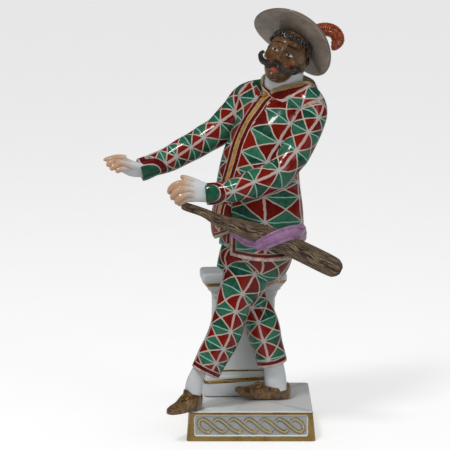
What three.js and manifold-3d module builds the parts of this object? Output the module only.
// A porcelain harlequin on a square plinth, leaning back against a waisted pedestal.
// Millimetres, +Z up, +X to the viewer's right, +Y away from the viewer.
// The origin is the middle of the plinth's underside.
import * as THREE from 'three';
import { mergeVertices } from 'three/addons/utils/BufferGeometryUtils.js';
import Module from 'manifold-3d';

const wasm = await Module();
wasm.setup();

// Driving sizes of the plinth
const plinthHeight = 10.5;
const plinthTopWidth = 43.2;
const plinthTopDepth = 41.6;
const plinthBatter = 1.05;
const plinthCorner = 1.3;
const plinthEdgeRound = 0.45;
const panelSideMargin = 1.7;
const panelLowMargin = 1.9;
const panelTopMargin = 1.3;
const panelDepth = 0.5;
const panelCorner = 0.9;
const strandWidth = 0.85;
const strandRise = 0.35;
const strandMargin = 0.5;
const guillocheCell = 5.4;

// Driving sizes of the pedestal
const pedestalHeight = 44.4;
const pedestalTurn = 5;
const pedestalCentreX = -2;
const pedestalCorner = 1.2;
const capWidth = 30.4;
const capDepth = 14.6;
const capFrontY = 2.6;
const capSlab = 3.2;
const capEdge = 0.7;
const capUndercut = 3.4;
const capLedge = 0.8;
const capSideInset = 2.6;
const capFrontInset = 1;
const waistWidth = 22.2;
const waistDepth = 11;
const waistFrontY = 4;
const waistHeight = 8;
const waistBelowCap = 3;
const dieWidth = 27;
const dieDepth = 13.6;
const dieFrontY = 2.8;
const dieHollow = 0.4;
const footWidth = 30;
const footDepth = 18;
const footHeight = 5.6;
const footFrontY = -0.4;
const footCorner = 2.4;
const footEdge = 0.6;
const mouldingHeight = 3.2;
const mouldingStep = 0.5;
const mouldingSpread = 1;
const mouldingEdge = 0.8;

// The figure's own height, from its soles to the hat's highest edge, drives every share below
const figureHeight = 139.5;

// Fits: the figure and the pedestal stand this far off the plinth, and the pedestal off the figure
const seatGap = 0.3;
const propGap = 0.35;

const glazeRoughness = 0.18;
const glazed = (color) => new THREE.MeshStandardMaterial({ color, roughness: glazeRoughness, metalness: 0 });
const figureMaterial = glazed(0x8c2f22);
const whiteMaterial = glazed(0xe9ebea);
const plinthMaterial = glazed(0xe2dccb);

// A place on the figure, in thousandths of its height, from the middle of the plinth's top
const share = figureHeight / 1000;
const at = (x, y, z) => new THREE.Vector3(x * share, y * share, plinthHeight + z * share);

// A level direction turned from straight at the viewer towards the viewer's left, in degrees
const facing = (degrees) => {
  const angle = THREE.MathUtils.degToRad(degrees);
  return new THREE.Vector3(-Math.sin(angle), -Math.cos(angle), 0);
};

// A closed geometry becomes a solid once its shared corners are merged and flat triangles dropped
const mergeDistance = 1e-4;

function solidOf(geometry) {
  const bare = geometry.index ? geometry.clone() : geometry;
  for (const name of ['normal', 'uv']) {
    bare.deleteAttribute(name);
  }
  const merged = mergeVertices(bare, mergeDistance);
  const corners = Array.from(merged.index.array);
  const kept = [];
  for (let i = 0; i < corners.length; i += 3) {
    const [a, b, c] = corners.slice(i, i + 3);
    if (a !== b && b !== c && c !== a) {
      kept.push(a, b, c);
    }
  }
  return outwardSolid(merged.attributes.position.array, kept);
}

// Corners and faces become a solid whose faces look outward: inside-out triangles are read backwards
function outwardSolid(points, faces) {
  const insideOut = signedVolume(points, faces) < 0;
  const reversed = (_, i) => faces[i - (i % 3) + 2 - (i % 3)];
  return new wasm.Manifold(new wasm.Mesh({
    numProp: 3,
    vertProperties: new Float32Array(points),
    triVerts: new Uint32Array(insideOut ? faces.map(reversed) : faces),
  }));
}

function geometryOf(solid) {
  const mesh = solid.getMesh();
  const geometry = new THREE.BufferGeometry();
  geometry.setAttribute('position', new THREE.BufferAttribute(mesh.vertProperties.slice(), 3));
  geometry.setIndex(new THREE.BufferAttribute(mesh.triVerts.slice(), 1));
  return geometry;
}

const joined = (solids) => solids.reduce((whole, next) => whole.add(next));

// The outer skin of a joined solid, so that small air pockets between its forms are filled
const sliver = 0.02;
const outerSkin = (solid) => solid.decompose().sort((a, b) => b.volume() - a.volume())[0];

const seamGap = THREE.MathUtils.degToRad(0.8);

// A tube with rounded-square to oval rings: stations are [x, y, z, half side, half depth] in shares,
// and a round one states its half side alone.
// front is the direction of the depth, power squares the ring, grow swells it by a clearance.
// form may change a ring's point by its angle and its place along the tube, turn gives the front
// for each place along it, and seam is an angle where two columns of points stand close together.
function loft(stations, { rings, sides, front, power = 2, grow = 0, form = null, turn = null, seam = null }) {
  const path = new THREE.CatmullRomCurve3(stations.map(([x, y, z]) => at(x, y, z)), false, 'catmullrom');
  const sizes = new THREE.CatmullRomCurve3(
    stations.map(([, , , side, deep]) => new THREE.Vector3(side * share, (deep ?? side) * share, 0)),
    false,
    'catmullrom',
  );
  const positions = [];
  for (let ring = 0; ring <= rings; ring += 1) {
    const along = ring / rings;
    const centre = path.getPoint(along);
    const tangent = path.getTangent(along);
    const toward = (turn ? facing(turn(along)) : front).clone();
    const sideways = new THREE.Vector3().crossVectors(tangent, toward).normalize();
    const forward = new THREE.Vector3().crossVectors(sideways, tangent).normalize();
    const size = sizes.getPoint(along);
    for (let step = 0; step < sides; step += 1) {
      const even = (2 * Math.PI * (step + 0.5)) / sides;
      const fromSeam = seamGap + ((2 * Math.PI - 2 * seamGap) * step) / (sides - 1);
      const angle = seam === null ? even : seam + fromSeam;
      const round = (value) => Math.sign(value) * Math.abs(value) ** (2 / power);
      const change = form ? form(angle, along) : { swell: 1, lift: 0 };
      const point = centre.clone();
      point.addScaledVector(sideways, round(Math.cos(angle)) * (size.x * change.swell + grow));
      point.addScaledVector(forward, round(Math.sin(angle)) * (size.y * change.swell + grow));
      point.z += change.lift * share;
      positions.push(...point);
    }
  }
  return closedTube(positions, rings, sides);
}

// Rings of corners become a closed solid: quads between rings, a fan on each end, faces outward
function closedTube(positions, rings, sides) {
  const corner = (index) => new THREE.Vector3().fromArray(positions, index * 3);
  const middle = (ring) => {
    const sum = new THREE.Vector3();
    for (let step = 0; step < sides; step += 1) {
      sum.add(corner(ring * sides + step));
    }
    return sum.divideScalar(sides);
  };
  const first = (rings + 1) * sides;
  const last = first + 1;
  const points = [...positions, ...middle(0), ...middle(rings)];
  const faces = [];
  for (let ring = 0; ring < rings; ring += 1) {
    for (let step = 0; step < sides; step += 1) {
      const next = (step + 1) % sides;
      const a = ring * sides + step;
      const b = ring * sides + next;
      faces.push(a, b, b + sides, a, b + sides, a + sides);
    }
  }
  for (let step = 0; step < sides; step += 1) {
    const next = (step + 1) % sides;
    faces.push(first, next, step);
    faces.push(last, rings * sides + step, rings * sides + next);
  }
  return outwardSolid(points, faces);
}

function signedVolume(points, faces) {
  let volume = 0;
  for (let i = 0; i < faces.length; i += 3) {
    const [a, b, c] = [0, 1, 2].map((k) => new THREE.Vector3().fromArray(points, faces[i + k] * 3));
    volume += a.dot(b.cross(c)) / 6;
  }
  return volume;
}

// An oval lump: its middle and half sizes in shares, its axes from a frame matrix
function lump(centre, [side, deep, tall], frame, detail = 1) {
  const geometry = new THREE.IcosahedronGeometry(1, detail);
  geometry.scale(side * share, deep * share, tall * share);
  geometry.applyMatrix4(frame);
  geometry.translate(centre.x, centre.y, centre.z);
  return solidOf(geometry);
}

// The frame of a thing whose top points along up and whose front looks along front
function frameOf(up, front) {
  const top = up.clone().normalize();
  const left = new THREE.Vector3().crossVectors(top, front).normalize();
  const back = new THREE.Vector3().crossVectors(top, left).normalize();
  return new THREE.Matrix4().makeBasis(left, back, top);
}

// Jacket: a flaring body from the neck to the hem, fuller at the belly, opened at the front below
const bodyTurn = (along) => 38 + 16 * Math.min(1, along * 2.2);
const jacketStations = [
  [78, 14, 790, 42, 32], [70, 8, 762, 80, 46], [58, -1, 730, 96, 62], [42, -10, 688, 99, 76],
  [26, -20, 622, 100, 90], [19, -27, 560, 105, 99], [17, -29, 498, 116, 103],
  [15, -29, 436, 123, 106], [15, -29, 386, 127, 109],
];
const openingAngle = THREE.MathUtils.degToRad(102);
const flapRise = 66;
const foldDepth = 0.022;

// Soft folds deepen down the skirt. Angles run from his right side over the front to his left:
// his right flap is cut short at the front opening and falls back to the common hem behind him.
function skirt(angle, along) {
  const low = Math.max(0, along * 2 - 1);
  const past = (openingAngle - angle + 4 * Math.PI) % (2 * Math.PI);
  const rise = flapRise * Math.max(0, Math.cos(past / 2)) ** 1.6 * low ** 2;
  return { swell: 1 + foldDepth * Math.sin(angle * 5 + 0.6) * low, lift: rise };
}

const jacket = (grow = 0) => loft(jacketStations, {
  rings: 12, sides: 21, turn: bodyTurn, power: 2.25, form: skirt, seam: openingAngle, grow,
});

// Trousers: a seat, and two legs that cross, the near one in front going to the viewer's left
const seatStations = [
  [17, -26, 470, 84, 80], [15, -28, 425, 95, 88], [9, -31, 380, 94, 88],
  [-10, -34, 350, 83, 78], [-34, -42, 316, 65, 56],
];
const nearLegStations = [
  [8, -46, 372, 68, 64], [-15, -62, 322, 59, 57], [-41, -77, 280, 44, 48], [-49, -86, 247, 40, 44],
  [-63, -100, 199, 42, 43], [-87, -108, 149, 40, 41], [-115, -115, 95, 37, 38],
];
const farLegStations = [
  [-10, -4, 358, 56, 52], [-9, -12, 290, 47, 46], [2, -18, 250, 44, 43], [23, -25, 214, 42, 42],
  [34, -26, 174, 44, 42], [46, -26, 136, 39, 39], [55, -26, 97, 39, 39],
];
const legFront = facing(40);

const trouserParts = (grow = 0) => [
  loft(seatStations, { rings: 5, sides: 16, front: facing(52), power: 2.2, grow }),
  loft(nearLegStations, { rings: 11, sides: 12, front: legFront, grow }),
  loft(farLegStations, { rings: 9, sides: 12, front: legFront, grow }),
];

// Stockings and pointed shoes with a low heel end, a tongue and a buckle; soles are cut flat
const nearStocking = [
  [-122, -113, 112, 18, 18], [-141, -118, 71, 21, 21], [-146, -121, 40, 22, 22], [-146, -120, 24, 22, 22],
];
const farStocking = [
  [53, -25, 108, 28, 28], [60, -23, 81, 26, 27], [63, -20, 55, 28, 29], [65, -17, 28, 32, 28],
];
const nearShoe = [
  [-131, -107, 20, 8, 15], [-136, -113, 21, 18, 21], [-146, -123, 22, 24, 25], [-158, -137, 20, 26, 23],
  [-174, -153, 13, 24, 15], [-192, -172, 8, 17, 9], [-205, -186, 6, 7, 5],
];
const farShoe = [
  [104, -16, 20, 9, 14], [97, -16, 20, 18, 20], [82, -17, 21, 22, 22], [56, -19, 20, 24, 21],
  [22, -23, 19, 24, 19], [-8, -29, 20, 20, 15], [-30, -34, 27, 12, 9], [-40, -36, 31, 5, 5],
];
const upward = new THREE.Vector3(0, 0, 1);

const footParts = (grow = 0) => [
  loft(nearStocking, { rings: 3, sides: 10, front: legFront, grow }),
  loft(farStocking, { rings: 3, sides: 10, front: legFront, grow }),
  loft(nearShoe, { rings: 7, sides: 10, front: upward, power: 2.5, grow }),
  loft(farShoe, { rings: 7, sides: 10, front: upward, power: 2.5, grow }),
];

const buckles = () => [
  lump(at(-166, -150, 34), [13, 9, 6], frameOf(new THREE.Vector3(-0.3, -0.3, 0.9), facing(45)), 0),
  lump(at(20, -36, 40), [12, 9, 7], frameOf(new THREE.Vector3(-0.2, -0.4, 0.9), facing(60)), 0),
];

// Sleeves, each from the shoulder to the cuff, with a turned-back cuff flap
const farSleeve = [
  [34, 24, 770, 50, 48], [-5, 40, 759, 48, 46], [-40, 40, 726, 42, 42], [-84, 32, 686, 37, 37],
  [-119, 22, 664, 36, 36], [-163, 7, 642, 35, 34], [-205, -7, 620, 31, 31], [-241, -18, 608, 29, 29],
  [-279, -28, 598, 27, 26],
];
const nearSleeve = [
  [114, -26, 776, 46, 44], [138, -50, 768, 42, 40], [147, -65, 738, 41, 40], [127, -82, 680, 39, 39],
  [97, -97, 637, 39, 38], [73, -115, 603, 39, 38], [41, -133, 588, 36, 35], [8, -147, 578, 35, 34],
  [-29, -158, 568, 32, 31], [-64, -161, 558, 28, 27], [-110, -161, 554, 26, 24],
];
const armFront = new THREE.Vector3(0.3, -1, 0.2);

const sleeves = () => [
  loft(farSleeve, { rings: 8, sides: 10, front: armFront }),
  loft(nearSleeve, { rings: 11, sides: 10, front: armFront }),
];

const farCuff = [[-234, -20, 598, 26, 26], [-252, -27, 589, 25, 24], [-270, -32, 584, 21, 18]];
const nearCuff = [[-56, -166, 558, 26, 25], [-76, -168, 556, 29, 27], [-94, -166, 553, 25, 24]];

const cuffs = () => [farCuff, nearCuff].map(
  (stations) => loft(stations, { rings: 2, sides: 10, front: armFront }),
);

// Hands: a palm with four fingers and a thumb; the near one is a loose fist, the far one reaches out
const farPalm = [
  [-262, -27, 597, 20, 18], [-294, -36, 598, 21, 16], [-317, -44, 609, 20, 14], [-338, -52, 617, 17, 12],
];
const farFingers = [
  [[-318, -45, 626, 9], [-347, -52, 627, 7], [-371, -58, 624, 4]],
  [[-328, -54, 620, 9], [-350, -60, 618, 8], [-361, -66, 610, 5]],
  [[-326, -60, 611, 8], [-343, -66, 608, 8], [-351, -72, 601, 5]],
  [[-316, -62, 604, 8], [-330, -68, 601, 7], [-337, -72, 596, 5]],
];
const farThumb = [[-274, -46, 606, 11], [-302, -60, 613, 9], [-330, -67, 621, 6]];
const nearPalm = [
  [-88, -161, 554, 21, 20], [-118, -161, 557, 25, 17], [-140, -163, 559, 28, 15], [-157, -165, 560, 27, 13],
];
const nearFingers = [
  [[-156, -166, 580, 10], [-190, -168, 576, 9], [-203, -160, 555, 6]],
  [[-156, -171, 567, 10], [-186, -178, 563, 9], [-194, -174, 542, 6]],
  [[-156, -172, 555, 9], [-178, -182, 549, 9], [-184, -178, 532, 6]],
  [[-154, -168, 544, 9], [-170, -176, 540, 8], [-177, -174, 529, 5]],
];
const nearThumb = [[-112, -158, 570, 11], [-144, -154, 585, 8], [-161, -154, 592, 7], [-176, -154, 598, 4]];

const digit = (stations) => loft(stations, { rings: 3, sides: 5, front: upward });

const hands = () => [
  loft(farPalm, { rings: 4, sides: 8, front: new THREE.Vector3(-0.2, 0.75, 0.6) }),
  loft(nearPalm, { rings: 4, sides: 8, front: new THREE.Vector3(0, -1, 0.1) }),
  ...[...farFingers, farThumb, ...nearFingers, nearThumb].map(digit),
];

// Slapstick: a flat bat of two slats, narrow at the grip, with a rounded end, thrust through the sash
const batStations = [
  [-172, -165, 527, 5, 6], [-163, -165, 524, 10, 7], [-117, -165, 508, 11, 7], [-73, -163, 486, 16, 7],
  [26, -160, 454, 24, 7], [120, -153, 411, 26, 7], [196, -146, 372, 26, 7], [214, -144, 363, 20, 7],
  [222, -143, 359, 9, 6],
];
const batFront = new THREE.Vector3(0.1, -1, 0);

const slapstick = () => loft(batStations, { rings: 8, sides: 12, front: batFront, power: 4.5 });

// Sash: a belt round the jacket above the hem, and one loop of it over the bat. At the front
// opening the belt starts behind the edge of the left flap.
const beltStations = [[15, -29, 452, 127, 110], [15, -29, 437, 131, 114], [15, -29, 420, 130, 113]];
const loopStations = [
  [4, -140, 414, 12, 7], [26, -168, 428, 19, 6], [60, -172, 444, 22, 6], [95, -163, 455, 20, 6],
  [120, -126, 452, 20, 7], [128, -88, 446, 18, 6],
];
const beltStartX = -57;

function sash() {
  const belt = loft(beltStations, { rings: 2, sides: 20, front: facing(54), power: 2.25 });
  const loop = loft(loopStations, { rings: 7, sides: 6, front: new THREE.Vector3(0.25, -1, 0.1), power: 3 });
  const box = new THREE.BoxGeometry(figureHeight, figureHeight, figureHeight);
  box.translate(beltStartX * share - figureHeight / 2, -figureHeight / 2, plinthHeight + figureHeight / 2);
  return [belt.subtract(solidOf(box)), loop];
}

// Neck, and the wide turned-down collar round it
const neckStations = [[76, 12, 778, 46, 42], [84, 4, 806, 40, 36], [92, 0, 836, 32, 30]];
const collarStations = [
  [78, 8, 766, 76, 48], [86, 2, 788, 77, 50], [93, 0, 804, 71, 50], [97, 2, 812, 60, 44],
];
const neckFront = facing(38);

const neckParts = () => [
  loft(neckStations, { rings: 3, sides: 10, front: neckFront }),
  loft(collarStations, { rings: 3, sides: 16, front: neckFront, power: 2.3 }),
];

// The head leans to the viewer's right and looks up; its frame carries a plain oval face
const headUp = new THREE.Vector3(0.43, 0.23, 0.87);
const headFront = new THREE.Vector3(-0.2, -0.92, 0.34);
const headFrame = frameOf(headUp, headFront);
const headCentre = at(88, -14, 880);

// A place on the head in shares: left of its middle, out of the face, and up
const onHead = (left, out, up) => new THREE.Vector3(left, -out, up)
  .multiplyScalar(share)
  .applyMatrix4(headFrame)
  .add(headCentre);

// Skull and jaw, then the nose's bridge and tip, brows, eyes, cheeks, lips, chin and ears
function headParts() {
  const piece = (left, out, up, sizes, detail = 0) => lump(onHead(left, out, up), sizes, headFrame, detail);
  const pair = (left, out, up, sizes) => [-1, 1].map((s) => piece(s * left, out, up, sizes));
  return [
    piece(0, 0, 12, [50, 56, 54], 2),
    piece(0, 12, -34, [38, 40, 42], 1),
    piece(0, 58, -16, [9, 13, 20]),
    piece(0, 64, -28, [10, 9, 8]),
    ...pair(19, 46, 10, [16, 11, 6]),
    ...pair(20, 43, -4, [10, 9, 6]),
    ...pair(25, 36, -28, [14, 15, 14]),
    piece(0, 49, -51, [15, 8, 5]),
    piece(0, 44, -68, [15, 12, 11]),
    ...pair(50, -4, -8, [6, 10, 15]),
  ];
}

// Hair: a fringe of curls below the brim and round the nape; each curl is a small lump
const curlCount = 12;
const curlRadius = 11;

function hairParts() {
  const curls = [];
  for (let i = 0; i < curlCount; i += 1) {
    const angle = (2 * Math.PI * (i + 0.5)) / curlCount;
    const back = Math.max(0, -Math.cos(angle));
    const place = onHead(49 * Math.sin(angle), 52 * Math.cos(angle), 36 - 34 * back + 3 * (i % 2));
    curls.push(lump(place, [curlRadius, curlRadius, curlRadius], headFrame, 0));
  }
  const nape = lump(onHead(0, -20, 2), [46, 42, 44], headFrame, 1);
  return [...curls, nape];
}

// Moustache: two rolls that leave the lip and curl up at their ends, in head shares
const moustacheHalf = [
  [2, 56, -40, 6], [16, 55, -43, 8], [32, 46, -44, 8], [46, 38, -36, 7], [52, 36, -26, 4],
];

const moustache = () => [-1, 1].map((s) => {
  const stations = moustacheHalf.map(([left, out, up, radius]) => {
    const place = onHead(s * left, out, up);
    return [place.x / share, place.y / share, (place.z - plinthHeight) / share, radius];
  });
  return loft(stations, { rings: 4, sides: 5, front: headUp });
});

// Hat: a round crown behind a wide brim, turned on a lathe and then bent: two sides rise and two dip
const hatUp = new THREE.Vector3(0.58, 0.58, 0.68);
const hatFront = new THREE.Vector3(-0.371, -0.755, 0.542);
const hatCentre = at(109, 14, 918);
const brimRadius = 112;
const hatProfile = [
  [0, 52], [28, 48], [49, 35], [60, 12], [90, 9], [brimRadius, -1], [109, -7], [70, -1], [0, -1],
];
const brimWave = 0.107;
const brimWaveTurn = THREE.MathUtils.degToRad(-52);

function hat() {
  const sides = 24;
  const profile = hatProfile.map(([radius, height]) => new THREE.Vector2(radius * share, height * share));
  const geometry = new THREE.LatheGeometry(profile, sides);
  geometry.rotateX(Math.PI / 2);
  const place = geometry.attributes.position;
  for (let i = 0; i < place.count; i += 1) {
    const [x, y] = [place.getX(i), place.getY(i)];
    const reach = Math.hypot(x, y) / (brimRadius * share);
    const angle = Math.atan2(y, x);
    const wave = brimWave * brimRadius * share * reach ** 2 * Math.cos(2 * (angle - brimWaveTurn));
    place.setZ(i, place.getZ(i) + wave);
  }
  geometry.applyMatrix4(frameOf(hatUp, hatFront));
  geometry.translate(hatCentre.x, hatCentre.y, hatCentre.z);
  return solidOf(geometry);
}

// Feather: a thick curl that leaves the crown behind the brim and turns back on itself
const featherStations = [
  [136, 52, 926, 12], [160, 56, 938, 15], [186, 54, 942, 17], [209, 50, 935, 17], [220, 47, 916, 16],
  [211, 43, 900, 12], [203, 42, 898, 7],
];
const feather = () => loft(featherStations, { rings: 9, sides: 6, front: new THREE.Vector3(0, -1, 0) });

// Everything is trimmed level with the soles, which stand one seat gap above the plinth
function belowSoles() {
  const size = figureHeight;
  const box = new THREE.BoxGeometry(size, size, size);
  box.translate(0, 0, plinthHeight + seatGap - size / 2);
  return solidOf(box);
}

function figure() {
  const whole = joined([
    jacket(), ...trouserParts(), ...footParts(), ...buckles(), ...sleeves(), ...cuffs(), ...hands(),
    slapstick(), ...sash(), ...neckParts(), ...headParts(), ...hairParts(), ...moustache(), hat(), feather(),
  ]);
  return outerSkin(whole.subtract(belowSoles())).simplify(sliver);
}

// Rounded-rectangle ring of half sizes a and b, corner radius r, as points anticlockwise from above
function roundedRing(a, b, r, perCorner) {
  const points = [];
  const corners = [[a - r, b - r, 0], [r - a, b - r, 1], [r - a, r - b, 2], [a - r, r - b, 3]];
  for (const [x, y, quarter] of corners) {
    for (let k = 0; k <= perCorner; k += 1) {
      const angle = (quarter + k / perCorner) * (Math.PI / 2);
      points.push([x + r * Math.cos(angle), y + r * Math.sin(angle)]);
    }
  }
  return points;
}

// A solid stacked from rounded rectangles: levels are [z, width, depth, corner, front Y or null]
function stacked(levels, perCorner) {
  const positions = [];
  for (const [z, width, depth, corner, frontY = null] of levels) {
    const middleY = frontY === null ? 0 : frontY + depth / 2;
    for (const [x, y] of roundedRing(width / 2, depth / 2, corner, perCorner)) {
      positions.push(x, middleY + y, z);
    }
  }
  return closedTube(positions, levels.length - 1, 4 * (perCorner + 1));
}

// Plinth: battered sides, soft edges, and a sunk panel with a two-strand guilloche on every side
const faceTilt = Math.atan2(plinthBatter, plinthHeight);
const faceSlant = Math.hypot(plinthBatter, plinthHeight);
const backSide = 2;
const panelHeight = faceSlant - panelLowMargin - panelTopMargin;

function panelShape(width) {
  const shape = new THREE.Shape();
  const outline = roundedRing(width / 2, panelHeight / 2, panelCorner, 2);
  outline.forEach(([x, y], i) => (i === 0 ? shape.moveTo(x, y) : shape.lineTo(x, y)));
  return shape;
}

// One strand of the guilloche: a band that swings from rail to rail once in each cell
function strandShape(cells, phase) {
  const samplesPerCell = 3;
  const swing = panelHeight / 2 - strandMargin - strandWidth / 2;
  const length = cells * guillocheCell;
  const upper = [];
  const lower = [];
  for (let i = 0; i <= cells * samplesPerCell; i += 1) {
    const along = i / samplesPerCell;
    const x = along * guillocheCell - length / 2;
    const y = phase * swing * Math.sin(Math.PI * along);
    const slope = (phase * swing * Math.PI * Math.cos(Math.PI * along)) / guillocheCell;
    const lean = Math.hypot(1, slope);
    const [nx, ny] = [(-slope / lean) * (strandWidth / 2), (1 / lean) * (strandWidth / 2)];
    upper.push([x + nx, y + ny]);
    lower.unshift([x - nx, y - ny]);
  }
  const shape = new THREE.Shape();
  [...upper, ...lower].forEach(([x, y], i) => (i === 0 ? shape.moveTo(x, y) : shape.lineTo(x, y)));
  return shape;
}

// A flat shape raised off a side face: its plane leans with the batter, rise is measured outward
function onFace(shape, rise, depth, side) {
  const halfWidth = (side % 2 === 0 ? plinthTopDepth : plinthTopWidth) / 2;
  const geometry = new THREE.ExtrudeGeometry(shape, { depth, bevelEnabled: false });
  geometry.translate(0, (panelLowMargin - panelTopMargin) / 2, rise - depth);
  geometry.rotateX(Math.PI / 2 - faceTilt);
  geometry.translate(0, -halfWidth - plinthBatter / 2, plinthHeight / 2);
  geometry.rotateZ((side * Math.PI) / 2);
  return solidOf(geometry);
}

function plinth() {
  const widthAt = (z, inset = 0) => plinthTopWidth + 2 * plinthBatter * (1 - z / plinthHeight) - 2 * inset;
  const depthAt = (z, inset = 0) => widthAt(z, inset) + plinthTopDepth - plinthTopWidth;
  const level = (z, inset = 0) => [z, widthAt(z, inset), depthAt(z, inset), plinthCorner];
  const soft = plinthEdgeRound;
  const levels = [level(0, soft / 2), level(soft / 2), level(plinthHeight - soft), level(plinthHeight, soft)];
  let block = stacked(levels, 3);
  for (let side = 0; side < 4; side += 1) {
    const faceWidth = side % 2 === 0 ? plinthTopWidth : plinthTopDepth;
    const panelWidth = faceWidth - 2 * panelSideMargin;
    block = block.subtract(onFace(panelShape(panelWidth), panelDepth, 2 * panelDepth, side));
    if (side === backSide) {
      continue;
    }
    const cells = Math.floor((panelWidth - 2 * strandMargin) / guillocheCell);
    const strands = [1, -1].map((phase) => {
      const shape = strandShape(cells, phase);
      return onFace(shape, strandRise - panelDepth, 2 * strandRise, side);
    });
    block = block.add(joined(strands));
  }
  return block;
}

// Pedestal: foot block, moulding, tapering die, slim waist and a cushioned cap. A block of it is
// drawn in by an inset at its sides, and by another at its front and back where the two differ.
const cap = { width: capWidth, depth: capDepth, frontY: capFrontY, corner: pedestalCorner };
const waist = { width: waistWidth, depth: waistDepth, frontY: waistFrontY, corner: pedestalCorner };
const die = { width: dieWidth, depth: dieDepth, frontY: dieFrontY, corner: pedestalCorner };
const foot = { width: footWidth, depth: footDepth, frontY: footFrontY, corner: footCorner };
const midDie = {
  width: (dieWidth + waistWidth) / 2,
  depth: (dieDepth + waistDepth) / 2,
  frontY: (dieFrontY + waistFrontY) / 2,
  corner: pedestalCorner,
};

const tier = (z, { width, depth, frontY, corner }, inset = 0, frontInset = inset) => (
  [z, width - 2 * inset, depth - 2 * frontInset, corner, frontY + frontInset]
);

function pedestal() {
  const bottom = plinthHeight + seatGap;
  const top = bottom + pedestalHeight;
  const footTop = bottom + footHeight;
  const dieBase = footTop + mouldingHeight;
  const capLow = top - capSlab - capUndercut;
  const waistHigh = capLow - waistBelowCap;
  const waistLow = waistHigh - waistHeight;
  const stack = stacked([
    tier(bottom, foot),
    tier(footTop - footEdge, foot),
    tier(footTop, foot, footEdge),
    tier(footTop + mouldingStep, die, -mouldingSpread),
    tier(dieBase - mouldingEdge, die, -mouldingSpread + mouldingStep / 2),
    tier(dieBase, die),
    tier((dieBase + waistLow) / 2, midDie, dieHollow),
    tier(waistLow, waist),
    tier(waistHigh, waist),
    tier(capLow, cap, capSideInset, capFrontInset),
    tier(capLow + capLedge, cap, capSideInset - capLedge / 2, capFrontInset - capLedge / 2),
    tier(top - capSlab, cap),
    tier(top - capEdge, cap),
    tier(top, cap, capEdge),
  ], 2);
  const turned = stack
    .translate([0, -capFrontY, 0])
    .rotate([0, 0, pedestalTurn])
    .translate([pedestalCentreX, capFrontY, 0]);
  const player = [jacket(propGap), ...trouserParts(propGap), ...footParts(propGap)];
  return outerSkin(turned.subtract(joined(player)));
}

const node = (name, solid, material) => {
  const mesh = new THREE.Mesh(geometryOf(solid), material);
  mesh.name = name;
  return mesh;
};

const harlequin = new THREE.Group();
harlequin.add(node('figure', figure(), figureMaterial));
harlequin.add(node('pedestal', pedestal(), whiteMaterial));
harlequin.add(node('plinth', plinth(), plinthMaterial));

export default harlequin;
